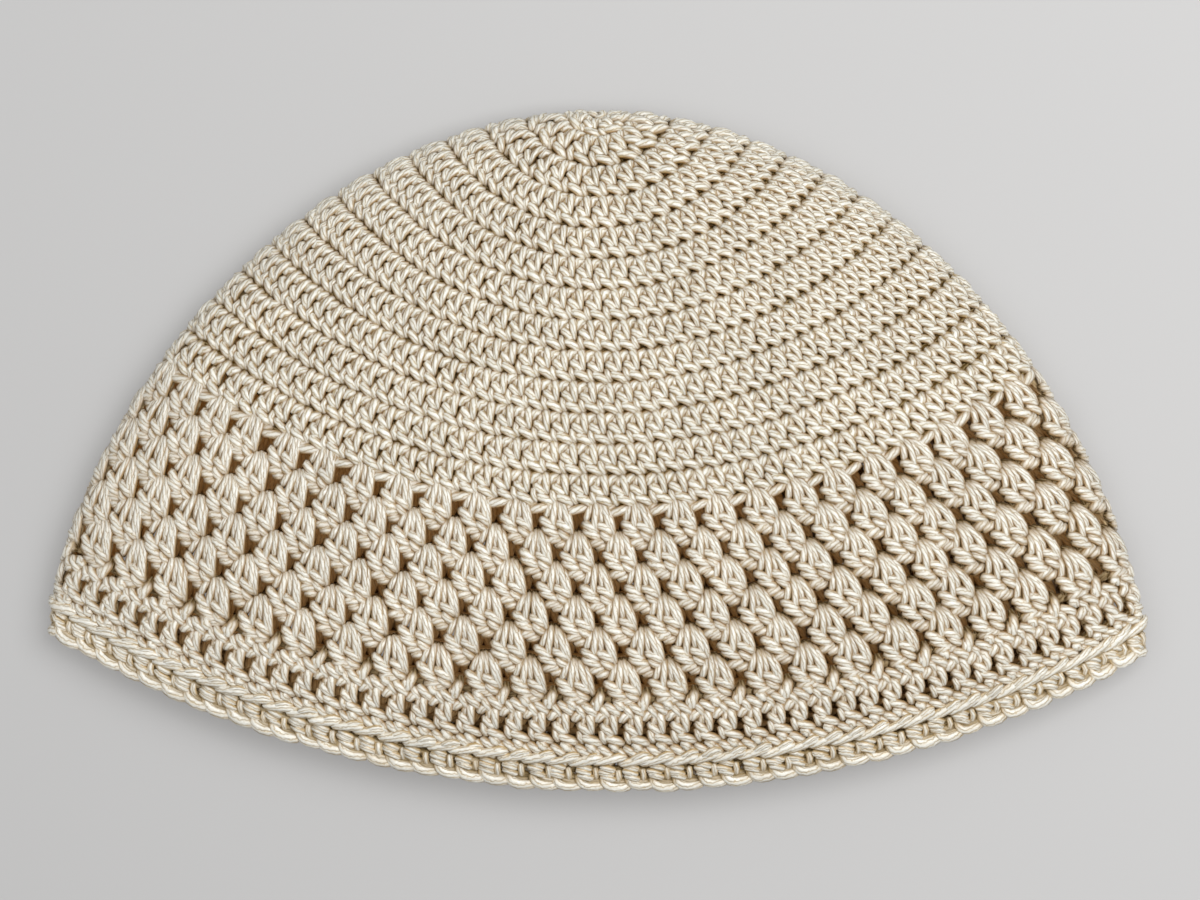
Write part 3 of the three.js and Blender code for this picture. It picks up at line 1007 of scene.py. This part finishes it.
class PlyGroup:
    """The shader group of a low-twist yarn: plies along it, painted shade in their grooves and in the
    creases between strands, a painted warm bounce colour and painted glow inside, and uneven tint.

    A range of two is where a share goes from 0 to 1, and one of four also has the values that it goes
    between.
    """

    NAME = "yarn_plies"
    COLOURS = ("Light Yarn", "Shaded Yarn", "Painted Crease Shade", "Painted Inner Bounce", "Painted Glow Colour")
    NUMBERS = ("Plies", "Turns", "Ply Shade", "Shine")
    RESULTS = (
        ("Colour", "NodeSocketColor"), ("Roughness", "NodeSocketFloat"), ("Height", "NodeSocketFloat"),
        ("Gloss", "NodeSocketFloat"), ("Glow", "NodeSocketColor"))
    SWAY_SCALE = 900.0
    SWAY = 0.9
    THREADS = 3.0
    THREAD_SWAY = 1.5
    FIBRE_DRAWN = (0.35, 9.0)
    FIBRE_SCALE = 3.0
    PLY_ROUNDING = 0.65
    PLY_HEIGHT = 0.62
    THREAD_HEIGHT = 0.28
    FIBRE_HEIGHT = 0.22
    OPEN_CREST = (-0.5, 0.95)
    OPEN_EDGE = (0.42, 0.86)
    RIDGE_SHINE = (0.45, 1.0, 0.08, 1.0)
    PAINTED_SHADE_DEPTH = (-0.5, 0.5, 0.26, 1.0)
    OUTSIDE_CREST = (-1.9, -1.1)
    GLOW_EDGE = (0.2, 0.95, 0.4, 1.35)
    THREAD_SHADE = 0.16
    PATCH_SCALE = 60.0
    PATCH_TONE = (0.3, 0.7, 0.95, 1.03)
    TINT_TONE = 0.06
    FIBRE_TONE = 0.22
    FIBRE_ROUGHNESS = (0.25, 0.75, 0.24, 0.40)

    @classmethod
    def tree(cls) -> bpy.types.NodeTree:
        """The group, built at its first use.

        A ply is |sin(pi * (plies * v + turns * u))| with u along the yarn and v round it, and a finer
        set of the same kind lies on top of it; the grooves between plies get painted shade. Fibre is
        noise that is drawn out along the yarn. The crest, which is below -1 inside the cap, and the edge
        say how open a place is: closed places take painted shade, darker the lower they lie, the inside
        takes a painted warm bounce colour and a faint painted glow, and the ridges of open ones shine.

        Returns:
            The node group.
        """
        known = bpy.data.node_groups.get(cls.NAME)
        if known:
            return known
        tree = bpy.data.node_groups.new(cls.NAME, "ShaderNodeTree")
        for name in cls.COLOURS:
            tree.interface.new_socket(name, in_out="INPUT", socket_type="NodeSocketColor")
        for name in cls.NUMBERS:
            tree.interface.new_socket(name, in_out="INPUT", socket_type="NodeSocketFloat")
        for name, kind in cls.RESULTS:
            tree.interface.new_socket(name, in_out="OUTPUT", socket_type=kind)
        sheet = NodeSheet(tree)
        given = tree.nodes.new("NodeGroupInput").outputs
        results = tree.nodes.new("NodeGroupOutput").inputs

        uv = sheet.add("UVMap", uv_map=YARN_MAP).outputs[0]
        split = sheet.add("SeparateXYZ", {0: uv}).outputs
        along, around = split[0], split[1]
        place = sheet.add("TexCoord").outputs["Object"]
        soft = sheet.add("TexNoise", {"Vector": place, "Scale": cls.SWAY_SCALE, "Detail": 2.0}).outputs[0]
        sway = sheet.math("MULTIPLY", sheet.math("SUBTRACT", soft, 0.5), cls.SWAY)

        turned = sheet.math("MULTIPLY", along, given["Turns"])
        broad = sheet.math("MULTIPLY_ADD", around, given["Plies"], sheet.math("ADD", turned, sway))
        ply = sheet.math("ABSOLUTE", sheet.math("SINE", sheet.math("MULTIPLY", broad, math.pi)))
        own_sway = sheet.math("MULTIPLY", sway, cls.THREAD_SWAY)
        fine = sheet.math("MULTIPLY_ADD", broad, cls.THREADS, own_sway)
        thread = sheet.math("ABSOLUTE", sheet.math("SINE", sheet.math("MULTIPLY", fine, math.pi)))
        ways = enumerate(zip((along, around), cls.FIBRE_DRAWN))
        stretched = {axis: sheet.math("MULTIPLY", way, share) for axis, (way, share) in ways}
        drawn = sheet.add("CombineXYZ", stretched).outputs[0]
        fibre = sheet.add("TexNoise", {"Vector": drawn, "Scale": cls.FIBRE_SCALE, "Detail": 3.0}).outputs[0]

        rounded = sheet.math("POWER", ply, cls.PLY_ROUNDING)
        height = sheet.math("MULTIPLY", rounded, cls.PLY_HEIGHT)
        height = sheet.math("MULTIPLY_ADD", thread, cls.THREAD_HEIGHT, height)
        height = sheet.math("MULTIPLY_ADD", fibre, cls.FIBRE_HEIGHT, height)
        sheet.feed(results["Height"], height)

        names = (CREST, TINT, EDGE)
        crest, tint, edge = (sheet.add("Attribute", attribute_name=name).outputs["Fac"] for name in names)
        open_share = sheet.remap(crest, *cls.OPEN_CREST)
        open_share = sheet.math("MULTIPLY", open_share, sheet.remap(edge, *cls.OPEN_EDGE))
        shine = sheet.math("MULTIPLY", given["Shine"], sheet.remap(height, *cls.RIDGE_SHINE))
        sheet.feed(results["Gloss"], sheet.math("MULTIPLY", open_share, shine))
        # Painted glow: inside faces emit a faint warm light that stands for light let through the yarn and
        # bounced inside.
        outside = sheet.remap(crest, *cls.OUTSIDE_CREST)
        glow = sheet.math("SUBTRACT", 1.0, outside)
        glow = sheet.math("MULTIPLY", glow, sheet.remap(edge, *cls.GLOW_EDGE))
        sheet.feed(results["Glow"], sheet.scaled(given["Painted Glow Colour"], glow))
        # Painted shade: closed places and low-lying strand sides take a dark brown, darker the lower their
        # crest lies.
        painted_crease_shade = sheet.scaled(given["Painted Crease Shade"], sheet.remap(crest, *cls.PAINTED_SHADE_DEPTH))
        # Inside faces take the painted warm bounce colour, which stands for light bounced inside the cap,
        # instead of the painted shade.
        closed = sheet.blend(outside, given["Painted Inner Bounce"], painted_crease_shade)
        base = sheet.blend(open_share, closed, given["Light Yarn"])
        # Painted shade in the grooves between plies and threads.
        groove = sheet.math("MULTIPLY", sheet.math("SUBTRACT", 1.0, rounded), given["Ply Shade"])
        between = sheet.math("SUBTRACT", 1.0, thread)
        groove = sheet.math("MULTIPLY_ADD", between, cls.THREAD_SHADE, groove)
        lined = sheet.blend(groove, base, given["Shaded Yarn"])
        patch = sheet.add("TexNoise", {"Vector": place, "Scale": cls.PATCH_SCALE, "Detail": 2.0}).outputs[0]
        uneven = sheet.math("MULTIPLY_ADD", tint, cls.TINT_TONE, sheet.remap(patch, *cls.PATCH_TONE))
        bright = sheet.math("MULTIPLY_ADD", sheet.math("SUBTRACT", fibre, 0.5), cls.FIBRE_TONE, uneven)
        sheet.feed(results["Colour"], sheet.scaled(lined, bright))
        sheet.feed(results["Roughness"], sheet.remap(fibre, *cls.FIBRE_ROUGHNESS))
        return tree


@dataclass(frozen=True)
class YarnFinish:
    """The finish of the yarn in one section, with its painted shade, painted bounce colour and painted glow.
    """

    slot: str
    light: Colour = (0.922, 0.903, 0.828)
    shaded: Colour = (0.50, 0.38, 0.215)
    # Painted shade of the creases and of closed strand sides.
    painted_crease_shade: Colour = (0.35, 0.175, 0.028)
    # Painted warm bounce colour for the inside of the cap.
    inner: Colour = (0.99, 0.78, 0.45)
    # Faint painted glow of the inside, emitted though the yarn is no lamp.
    painted_glow: Colour = (0.034, 0.0145, 0.0028)
    plies: float = 6.0
    turns: float = -0.36
    ply_shade: float = 0.85
    relief: float = 0.3
    relief_strength: float = 0.9
    shine: float = 0.78
    shine_roughness: float = 0.32
    shine_ior: float = 2.0

    def material(self) -> bpy.types.Material:
        """A material of this finish.

        Returns:
            The new material, named after the slot.
        """
        made = bpy.data.materials.new(self.slot)
        made.use_nodes = True
        made.cycles.emission_sampling = "NONE"
        sheet = NodeSheet(made.node_tree)
        plies = sheet.add("Group", node_tree=PlyGroup.tree())
        colours = (self.light, self.shaded, self.painted_crease_shade, self.inner, self.painted_glow)
        for name, colour in zip(PlyGroup.COLOURS, colours):
            plies.inputs[name].default_value = (*colour, 1.0)
        for name, value in zip(PlyGroup.NUMBERS, (self.plies, self.turns, self.ply_shade, self.shine)):
            plies.inputs[name].default_value = value
        bump = sheet.add("Bump", {
            "Strength": self.relief_strength,
            "Distance": self.relief * MM,
            "Height": plies.outputs["Height"],
        })
        shader = sheet.add("BsdfPrincipled", {
            "Base Color": plies.outputs["Colour"],
            "Roughness": plies.outputs["Roughness"],
            "Normal": bump.outputs[0],
            "Specular IOR Level": 0.0,
            "Coat Weight": plies.outputs["Gloss"],
            "Coat Roughness": self.shine_roughness,
            "Coat IOR": self.shine_ior,
            "Emission Color": plies.outputs["Glow"],
            "Emission Strength": 1.0,
        })
        sheet.add("OutputMaterial", {"Surface": shader.outputs[0]})
        return made


@dataclass
class CrochetSection:
    """A worked section of the cap, which stands for one solid of the frame.

    Each of its parts is a piece, with its name, its first round and the round after its last one. The
    seeds of the pieces count on from first_seed.
    """

    form: CapForm
    yarn: Yarn
    node: str
    finish: YarnFinish
    first_seed: int = 0
    parts: tuple[tuple[str, int, int], ...] = ()

    def work(self, piece: YarnPiece, first: int, last: int) -> None:
        """Works the rounds of one piece.

        Args:
            piece: The piece to work them in.
            first: Its first round.
            last: The round after its last one.
        """
        raise NotImplementedError

    def build(self) -> list[bpy.types.Object]:
        """Makes the section's pieces.

        Returns:
            The pieces, in the order of the parts.
        """
        made = []
        for seed, (name, first, last) in enumerate(self.parts, self.first_seed):
            piece = YarnPiece(name, self.form, self.yarn, seed)
            self.work(piece, first, last)
            made.append(piece.mesh())
        return made

    def dress(self, pieces: list[bpy.types.Object]) -> None:
        """Gives the pieces their finish and their place in the frame.

        Args:
            pieces: The section's pieces.
        """
        material = self.finish.material()
        for piece in pieces:
            piece.data.materials.append(material)
            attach(piece, BODY)
            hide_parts(self.node)
            triangles = sum(len(face.vertices) - 2 for face in piece.data.polygons)
            LOG.info("%s stands for %s: %d triangles", piece.name, self.node, triangles)


@dataclass
class Crown(CrochetSection):
    """The dense dome: rounds of double crochet from the centre ring outwards."""

    counts: tuple[int, ...] = (9, 17, 32, 48, 60, 70, 79, 88, 94, 95, 96, 96, 96)
    crowds: tuple[float, ...] = (
        0.0, 0.05, 0.1, 0.17, 0.18, 0.19, 0.2, 0.19, 0.15, 0.1, 0.08, 0.04, 0.0)
    drift: float = -0.45
    squeeze: float = 0.94
    ring_round: float = 0.17
    ring_wave: float = 0.06
    ring_waves: int = 3
    ring_lift: float = 0.9
    ring_end_power: int = 8
    ring_thick: float = 1.15
    ring_span: tuple[float, float] = (-0.1, 1.02)
    ring_points: int = 25
    first_top: float = 0.3
    first_seed: int = 11
    parts: tuple[tuple[str, int, int], ...] = (
        ("crown_centre_rounds", 0, 7), ("crown_middle_rounds", 7, 10), ("crown_outer_rounds", 10, 13))

    def work(self, piece: YarnPiece, first: int, last: int) -> None:
        """Works rounds of double crochet, the first of them into the centre ring.

        Args:
            piece: The piece to work them in.
            first: Its first round.
            last: The round after its last one.
        """
        rounds = [
            Cells.of_round(number, self.counts[number], self.drift * number, crowd=self.crowds[number])
            for number in range(max(first, 1), last)
        ]
        if first == 0:
            rounds.append(Cells.of_round(self.first_top, self.counts[0], 0.0, 1.0 - self.first_top))
            self.centre_ring(piece)
        stitch = tuple(strand.squeezed(self.squeeze) for strand in double_crochet())
        piece.work(stitch, Cells.joined(rounds))

    def centre_ring(self, piece: YarnPiece) -> None:
        """Lays the ring of yarn that the first round is worked into.

        Its round is ring_round + ring_wave * sin(2 pi * ring_waves * share), and its lift is
        ring_lift * (1 - |t| ** ring_end_power) with t from -1 to 1 along it.

        Args:
            piece: The piece to lay it in.
        """
        shares = np.linspace(*self.ring_span, self.ring_points)[None, :]
        rounds = self.ring_round + self.ring_wave * np.sin(2 * math.pi * self.ring_waves * shares)
        along = np.linspace(-1.0, 1.0, self.ring_points)[None, :]
        lift = self.ring_lift * (1 - np.abs(along) ** self.ring_end_power)
        radii = np.full_like(shares, self.ring_thick * self.yarn.radius)
        piece.tube(rounds, shares, lift, radii, Layer.FACE.sides)


@dataclass
class OpenworkBand(CrochetSection):
    """The pierced band: rounds of fans, each shifted by half a pitch, with a gap between two fans.

    The fans on the left of the front are rounder, in as many steps as there are shapes. Full_start,
    full_run and full_end are where that starts, how far it takes to come in and where it ends, as
    shares of the loop.
    """

    first_round: int = 13
    clusters: int = 48
    shapes: int = 3
    full_start: float = 0.97
    full_run: float = 0.1
    full_end: float = 0.7
    row_shift: float = 0.5
    back_shift: float = 0.5
    first_seed: int = 21
    parts: tuple[tuple[str, int, int], ...] = (
        ("openwork_upper_rows", 13, 16), ("openwork_lower_rows", 16, 19))

    def work(self, piece: YarnPiece, first: int, last: int) -> None:
        """Works rounds of fans, with bridges over the gaps of the first round.

        Args:
            piece: The piece to work them in.
            first: Its first round.
            last: The round after its last one.
        """
        rows = []
        for top in range(first, last):
            shift = self.row_shift * ((top - self.first_round) % 2)
            rows.append(Cells.of_round(top, self.clusters, shift, back_shift=self.back_shift))
        fans = Cells.joined(rows)
        share = np.mod(fans.start, 1.0)
        ramp = np.clip((self.full_start - share) / self.full_run, 0.0, 1.0)
        steps = np.round(np.where(share > self.full_end, ramp, 0.0) * self.shapes).astype(int)
        for step in range(self.shapes + 1):
            piece.work(fan_cluster(step / self.shapes), fans.among(steps == step))
        if first == self.first_round:
            piece.work(bridge(), rows[0])


@dataclass
class BorderBand(CrochetSection):
    """The border: two rounds of single crochet with a round of spaced double crochet between them."""

    stitches: int = 96
    narrow: float = 0.75
    back_shift: float = 0.5
    upper_shift: float = 0.13
    lower_shift: float = -0.13
    lower_rise: float = 0.31
    lower_height: float = 1.48
    first_seed: int = 31
    parts: tuple[tuple[str, int, int], ...] = (("border_rounds", 19, 22),)

    def work(self, piece: YarnPiece, first: int, last: int) -> None:
        """Works a round of single crochet, a spaced one and another of single crochet.

        Args:
            piece: The piece to work them in.
            first: Its first round.
            last: The round after its last one.
        """
        upper_top, post_top, lower_top = range(first, last)
        upper = Cells.of_round(upper_top, self.stitches, self.upper_shift)
        lower = Cells.of_round(
            lower_top - self.lower_rise, self.stitches, self.lower_shift, self.lower_height)
        piece.work(single_crochet(), Cells.joined([upper, lower]))
        piece.work(leaf_knob(), upper.among(slice(1, None, 2)))
        piece.work(round_knob(), Cells.joined([upper.among(slice(0, None, 2)), lower]))
        posts = Cells.of_round(post_top, self.stitches, 0.0, back_shift=self.back_shift)
        piece.work(spaced_double_crochet(self.narrow), posts)


@dataclass
class RimEdging(CrochetSection):
    """The rim: a raised chain, the edging below it and the bottom chain."""

    stitches: int = 96
    shifts: tuple[float, ...] = (0.0, 0.1, 0.34)
    first_seed: int = 41
    parts: tuple[tuple[str, int, int], ...] = (("rim_rounds", 22, 25),)

    def work(self, piece: YarnPiece, first: int, last: int) -> None:
        """Works the ridge, the edging and the bottom chain, a round of each.

        Args:
            piece: The piece to work them in.
            first: Its first round.
            last: The round after its last one.
        """
        stitches = (chain_ridge(), edging_loop(), bottom_chain())
        for top, stitch, shift in zip(range(first, last), stitches, self.shifts):
            piece.work(stitch, Cells.of_round(top, self.stitches, shift))


@dataclass(frozen=True)
class Lamp:
    """A soft square light that points at the cap."""

    name: str
    place: tuple[float, float, float]
    side: float
    watts: float

    def light(self) -> None:
        """Sets up the light."""
        data = bpy.data.lights.new(self.name, "AREA")
        data.shape = "SQUARE"
        data.size = self.side
        data.energy = self.watts
        lamp = bpy.data.objects.new(self.name, data)
        lamp.location = self.place
        aim = -lamp.location
        lamp.rotation_euler = aim.to_track_quat("-Z", "Y").to_euler()
        bpy.context.scene.collection.objects.link(lamp)


@dataclass
class Studio:
    """A plain pale floor, soft light and the camera above the cap."""

    floor_half: float = 1.6
    floor_level: float = 0.0
    floor_colour: Colour = (0.345, 0.342, 0.340)
    painted_light_drift: tuple[float, float] = (0.52, 0.38)
    most_painted_light_drift: float = 0.12
    cloud_scale: float = 6.0
    cloud_tone: float = 0.985
    floor_roughness: float = 0.85
    floor_gloss: float = 0.2
    floor_light: float = 0.207
    camera_height: float = 2.0
    sensor: float = 36.0
    frame_width: float = 0.294
    fold_level: float = 0.007
    frame_centre: tuple[float, float] = (0.0005, -0.0001)
    world_colour: Colour = (1.0, 0.99, 0.98)
    world_strength: float = 0.40
    lamps: tuple[Lamp, ...] = (
        Lamp("key", (0.45, 0.17, 0.95), 0.85, 8.5),
        Lamp("fill", (-0.40, 0.08, 1.2), 1.3, 5.0),
    )

    def build(self) -> None:
        """Sets up floor, light, world and camera."""
        self.floor()
        for lamp in self.lamps:
            lamp.light()
        self.world()
        self.camera()

    def floor(self) -> None:
        """Lays a flat square, lit through from below like a light table.

        Its pale finish is faintly clouded, and painted light makes it lighter to the right and the back,
        as 1 + right * x + back * y, held within the most painted light drift.
        """
        reach, level = self.floor_half, self.floor_level
        outline = [(x * reach, y * reach, level) for x, y in ((-1, -1), (1, -1), (1, 1), (-1, 1))]
        mesh = bpy.data.meshes.new("floor")
        mesh.from_pydata(outline, [], [(0, 1, 2, 3)])
        floor = bpy.data.objects.new("floor", mesh)
        bpy.context.scene.collection.objects.link(floor)
        material = bpy.data.materials.new("pale_floor")
        material.use_nodes = True
        sheet = NodeSheet(material.node_tree)
        place = sheet.add("TexCoord").outputs["Object"]
        cloud = sheet.add("TexNoise", {"Vector": place, "Scale": self.cloud_scale, "Detail": 2.0}).outputs[0]
        low = tuple(self.cloud_tone * part for part in self.floor_colour)
        clouded = sheet.blend(cloud, (*low, 1.0), (*self.floor_colour, 1.0))
        across, along = sheet.add("SeparateXYZ", {0: place}).outputs[:2]
        # Painted light: the floor gets lighter to the right and the back.
        right, back = self.painted_light_drift
        drift = sheet.math("MULTIPLY_ADD", across, right, sheet.math("MULTIPLY", along, back))
        held = sheet.math("MAXIMUM", -self.most_painted_light_drift, sheet.math("MINIMUM", drift, self.most_painted_light_drift))
        colour = sheet.scaled(clouded, sheet.math("ADD", 1.0, held))
        shader = sheet.add("BsdfPrincipled", {
            "Base Color": colour,
            "Roughness": self.floor_roughness,
            "Specular IOR Level": self.floor_gloss,
            "Emission Color": (1.0, 1.0, 1.0, 1.0),
            "Emission Strength": self.floor_light,
        })
        sheet.add("OutputMaterial", {"Surface": shader.outputs[0]})
        mesh.materials.append(material)
        floor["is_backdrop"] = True

    def world(self) -> None:
        """Fills the surroundings with even pale light."""
        world = bpy.data.worlds.new("studio")
        world.use_nodes = True
        back = world.node_tree.nodes["Background"]
        back.inputs[0].default_value = (*self.world_colour, 1.0)
        back.inputs[1].default_value = self.world_strength
        bpy.context.scene.world = world

    def camera(self) -> None:
        """Puts the camera straight above the cap, with the crown at the top of the picture."""
        data = bpy.data.cameras.new("camera")
        data.sensor_width = self.sensor
        data.lens = self.sensor * (self.camera_height - self.fold_level) / self.frame_width
        camera = bpy.data.objects.new("camera", data)
        camera.location = (*self.frame_centre, self.camera_height)
        bpy.context.scene.collection.objects.link(camera)
        bpy.context.scene.camera = camera
        bpy.context.scene.view_settings.view_transform = "Standard"


def corners(box: tuple) -> tuple[np.ndarray, np.ndarray]:
    """The two corners of a box as arrays."""
    low, high = box
    return np.array(low, float), np.array(high, float)


def main() -> None:
    """Builds the cap on the frame and the studio round it."""
    logging.basicConfig(level=logging.INFO, format="%(name)s: %(message)s")
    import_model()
    solid_box = corners(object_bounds())
    form = CapForm.from_box(*solid_box)
    yarn = Yarn()
    loose = Yarn(stitch_wander=(0.04, 0.04), strand_wander=(0.03, 0.035, 0.12), thick_wander=0.08)
    Studio().build()
    crown = YarnFinish(
        "crown_yarn", light=(0.918, 0.911, 0.836), shaded=(0.51, 0.39, 0.20), painted_crease_shade=(0.30, 0.137, 0.006))
    band = YarnFinish("band_yarn", light=(0.896, 0.887, 0.810))
    border = replace(band, slot="border_yarn")
    rim = YarnFinish(
        "rim_yarn", light=(0.914, 0.903, 0.829), shaded=(0.53, 0.40, 0.215), painted_crease_shade=(0.58, 0.38, 0.14),
        turns=-0.15)
    sections = (
        Crown(form, yarn, "crown", crown),
        OpenworkBand(form, yarn, "openwork_band", band),
        BorderBand(form, yarn, "border_band", border),
        RimEdging(form, loose, "rim_edging", rim),
    )
    for section in sections:
        section.dress(section.build())


if __name__ == "__main__":
    main()
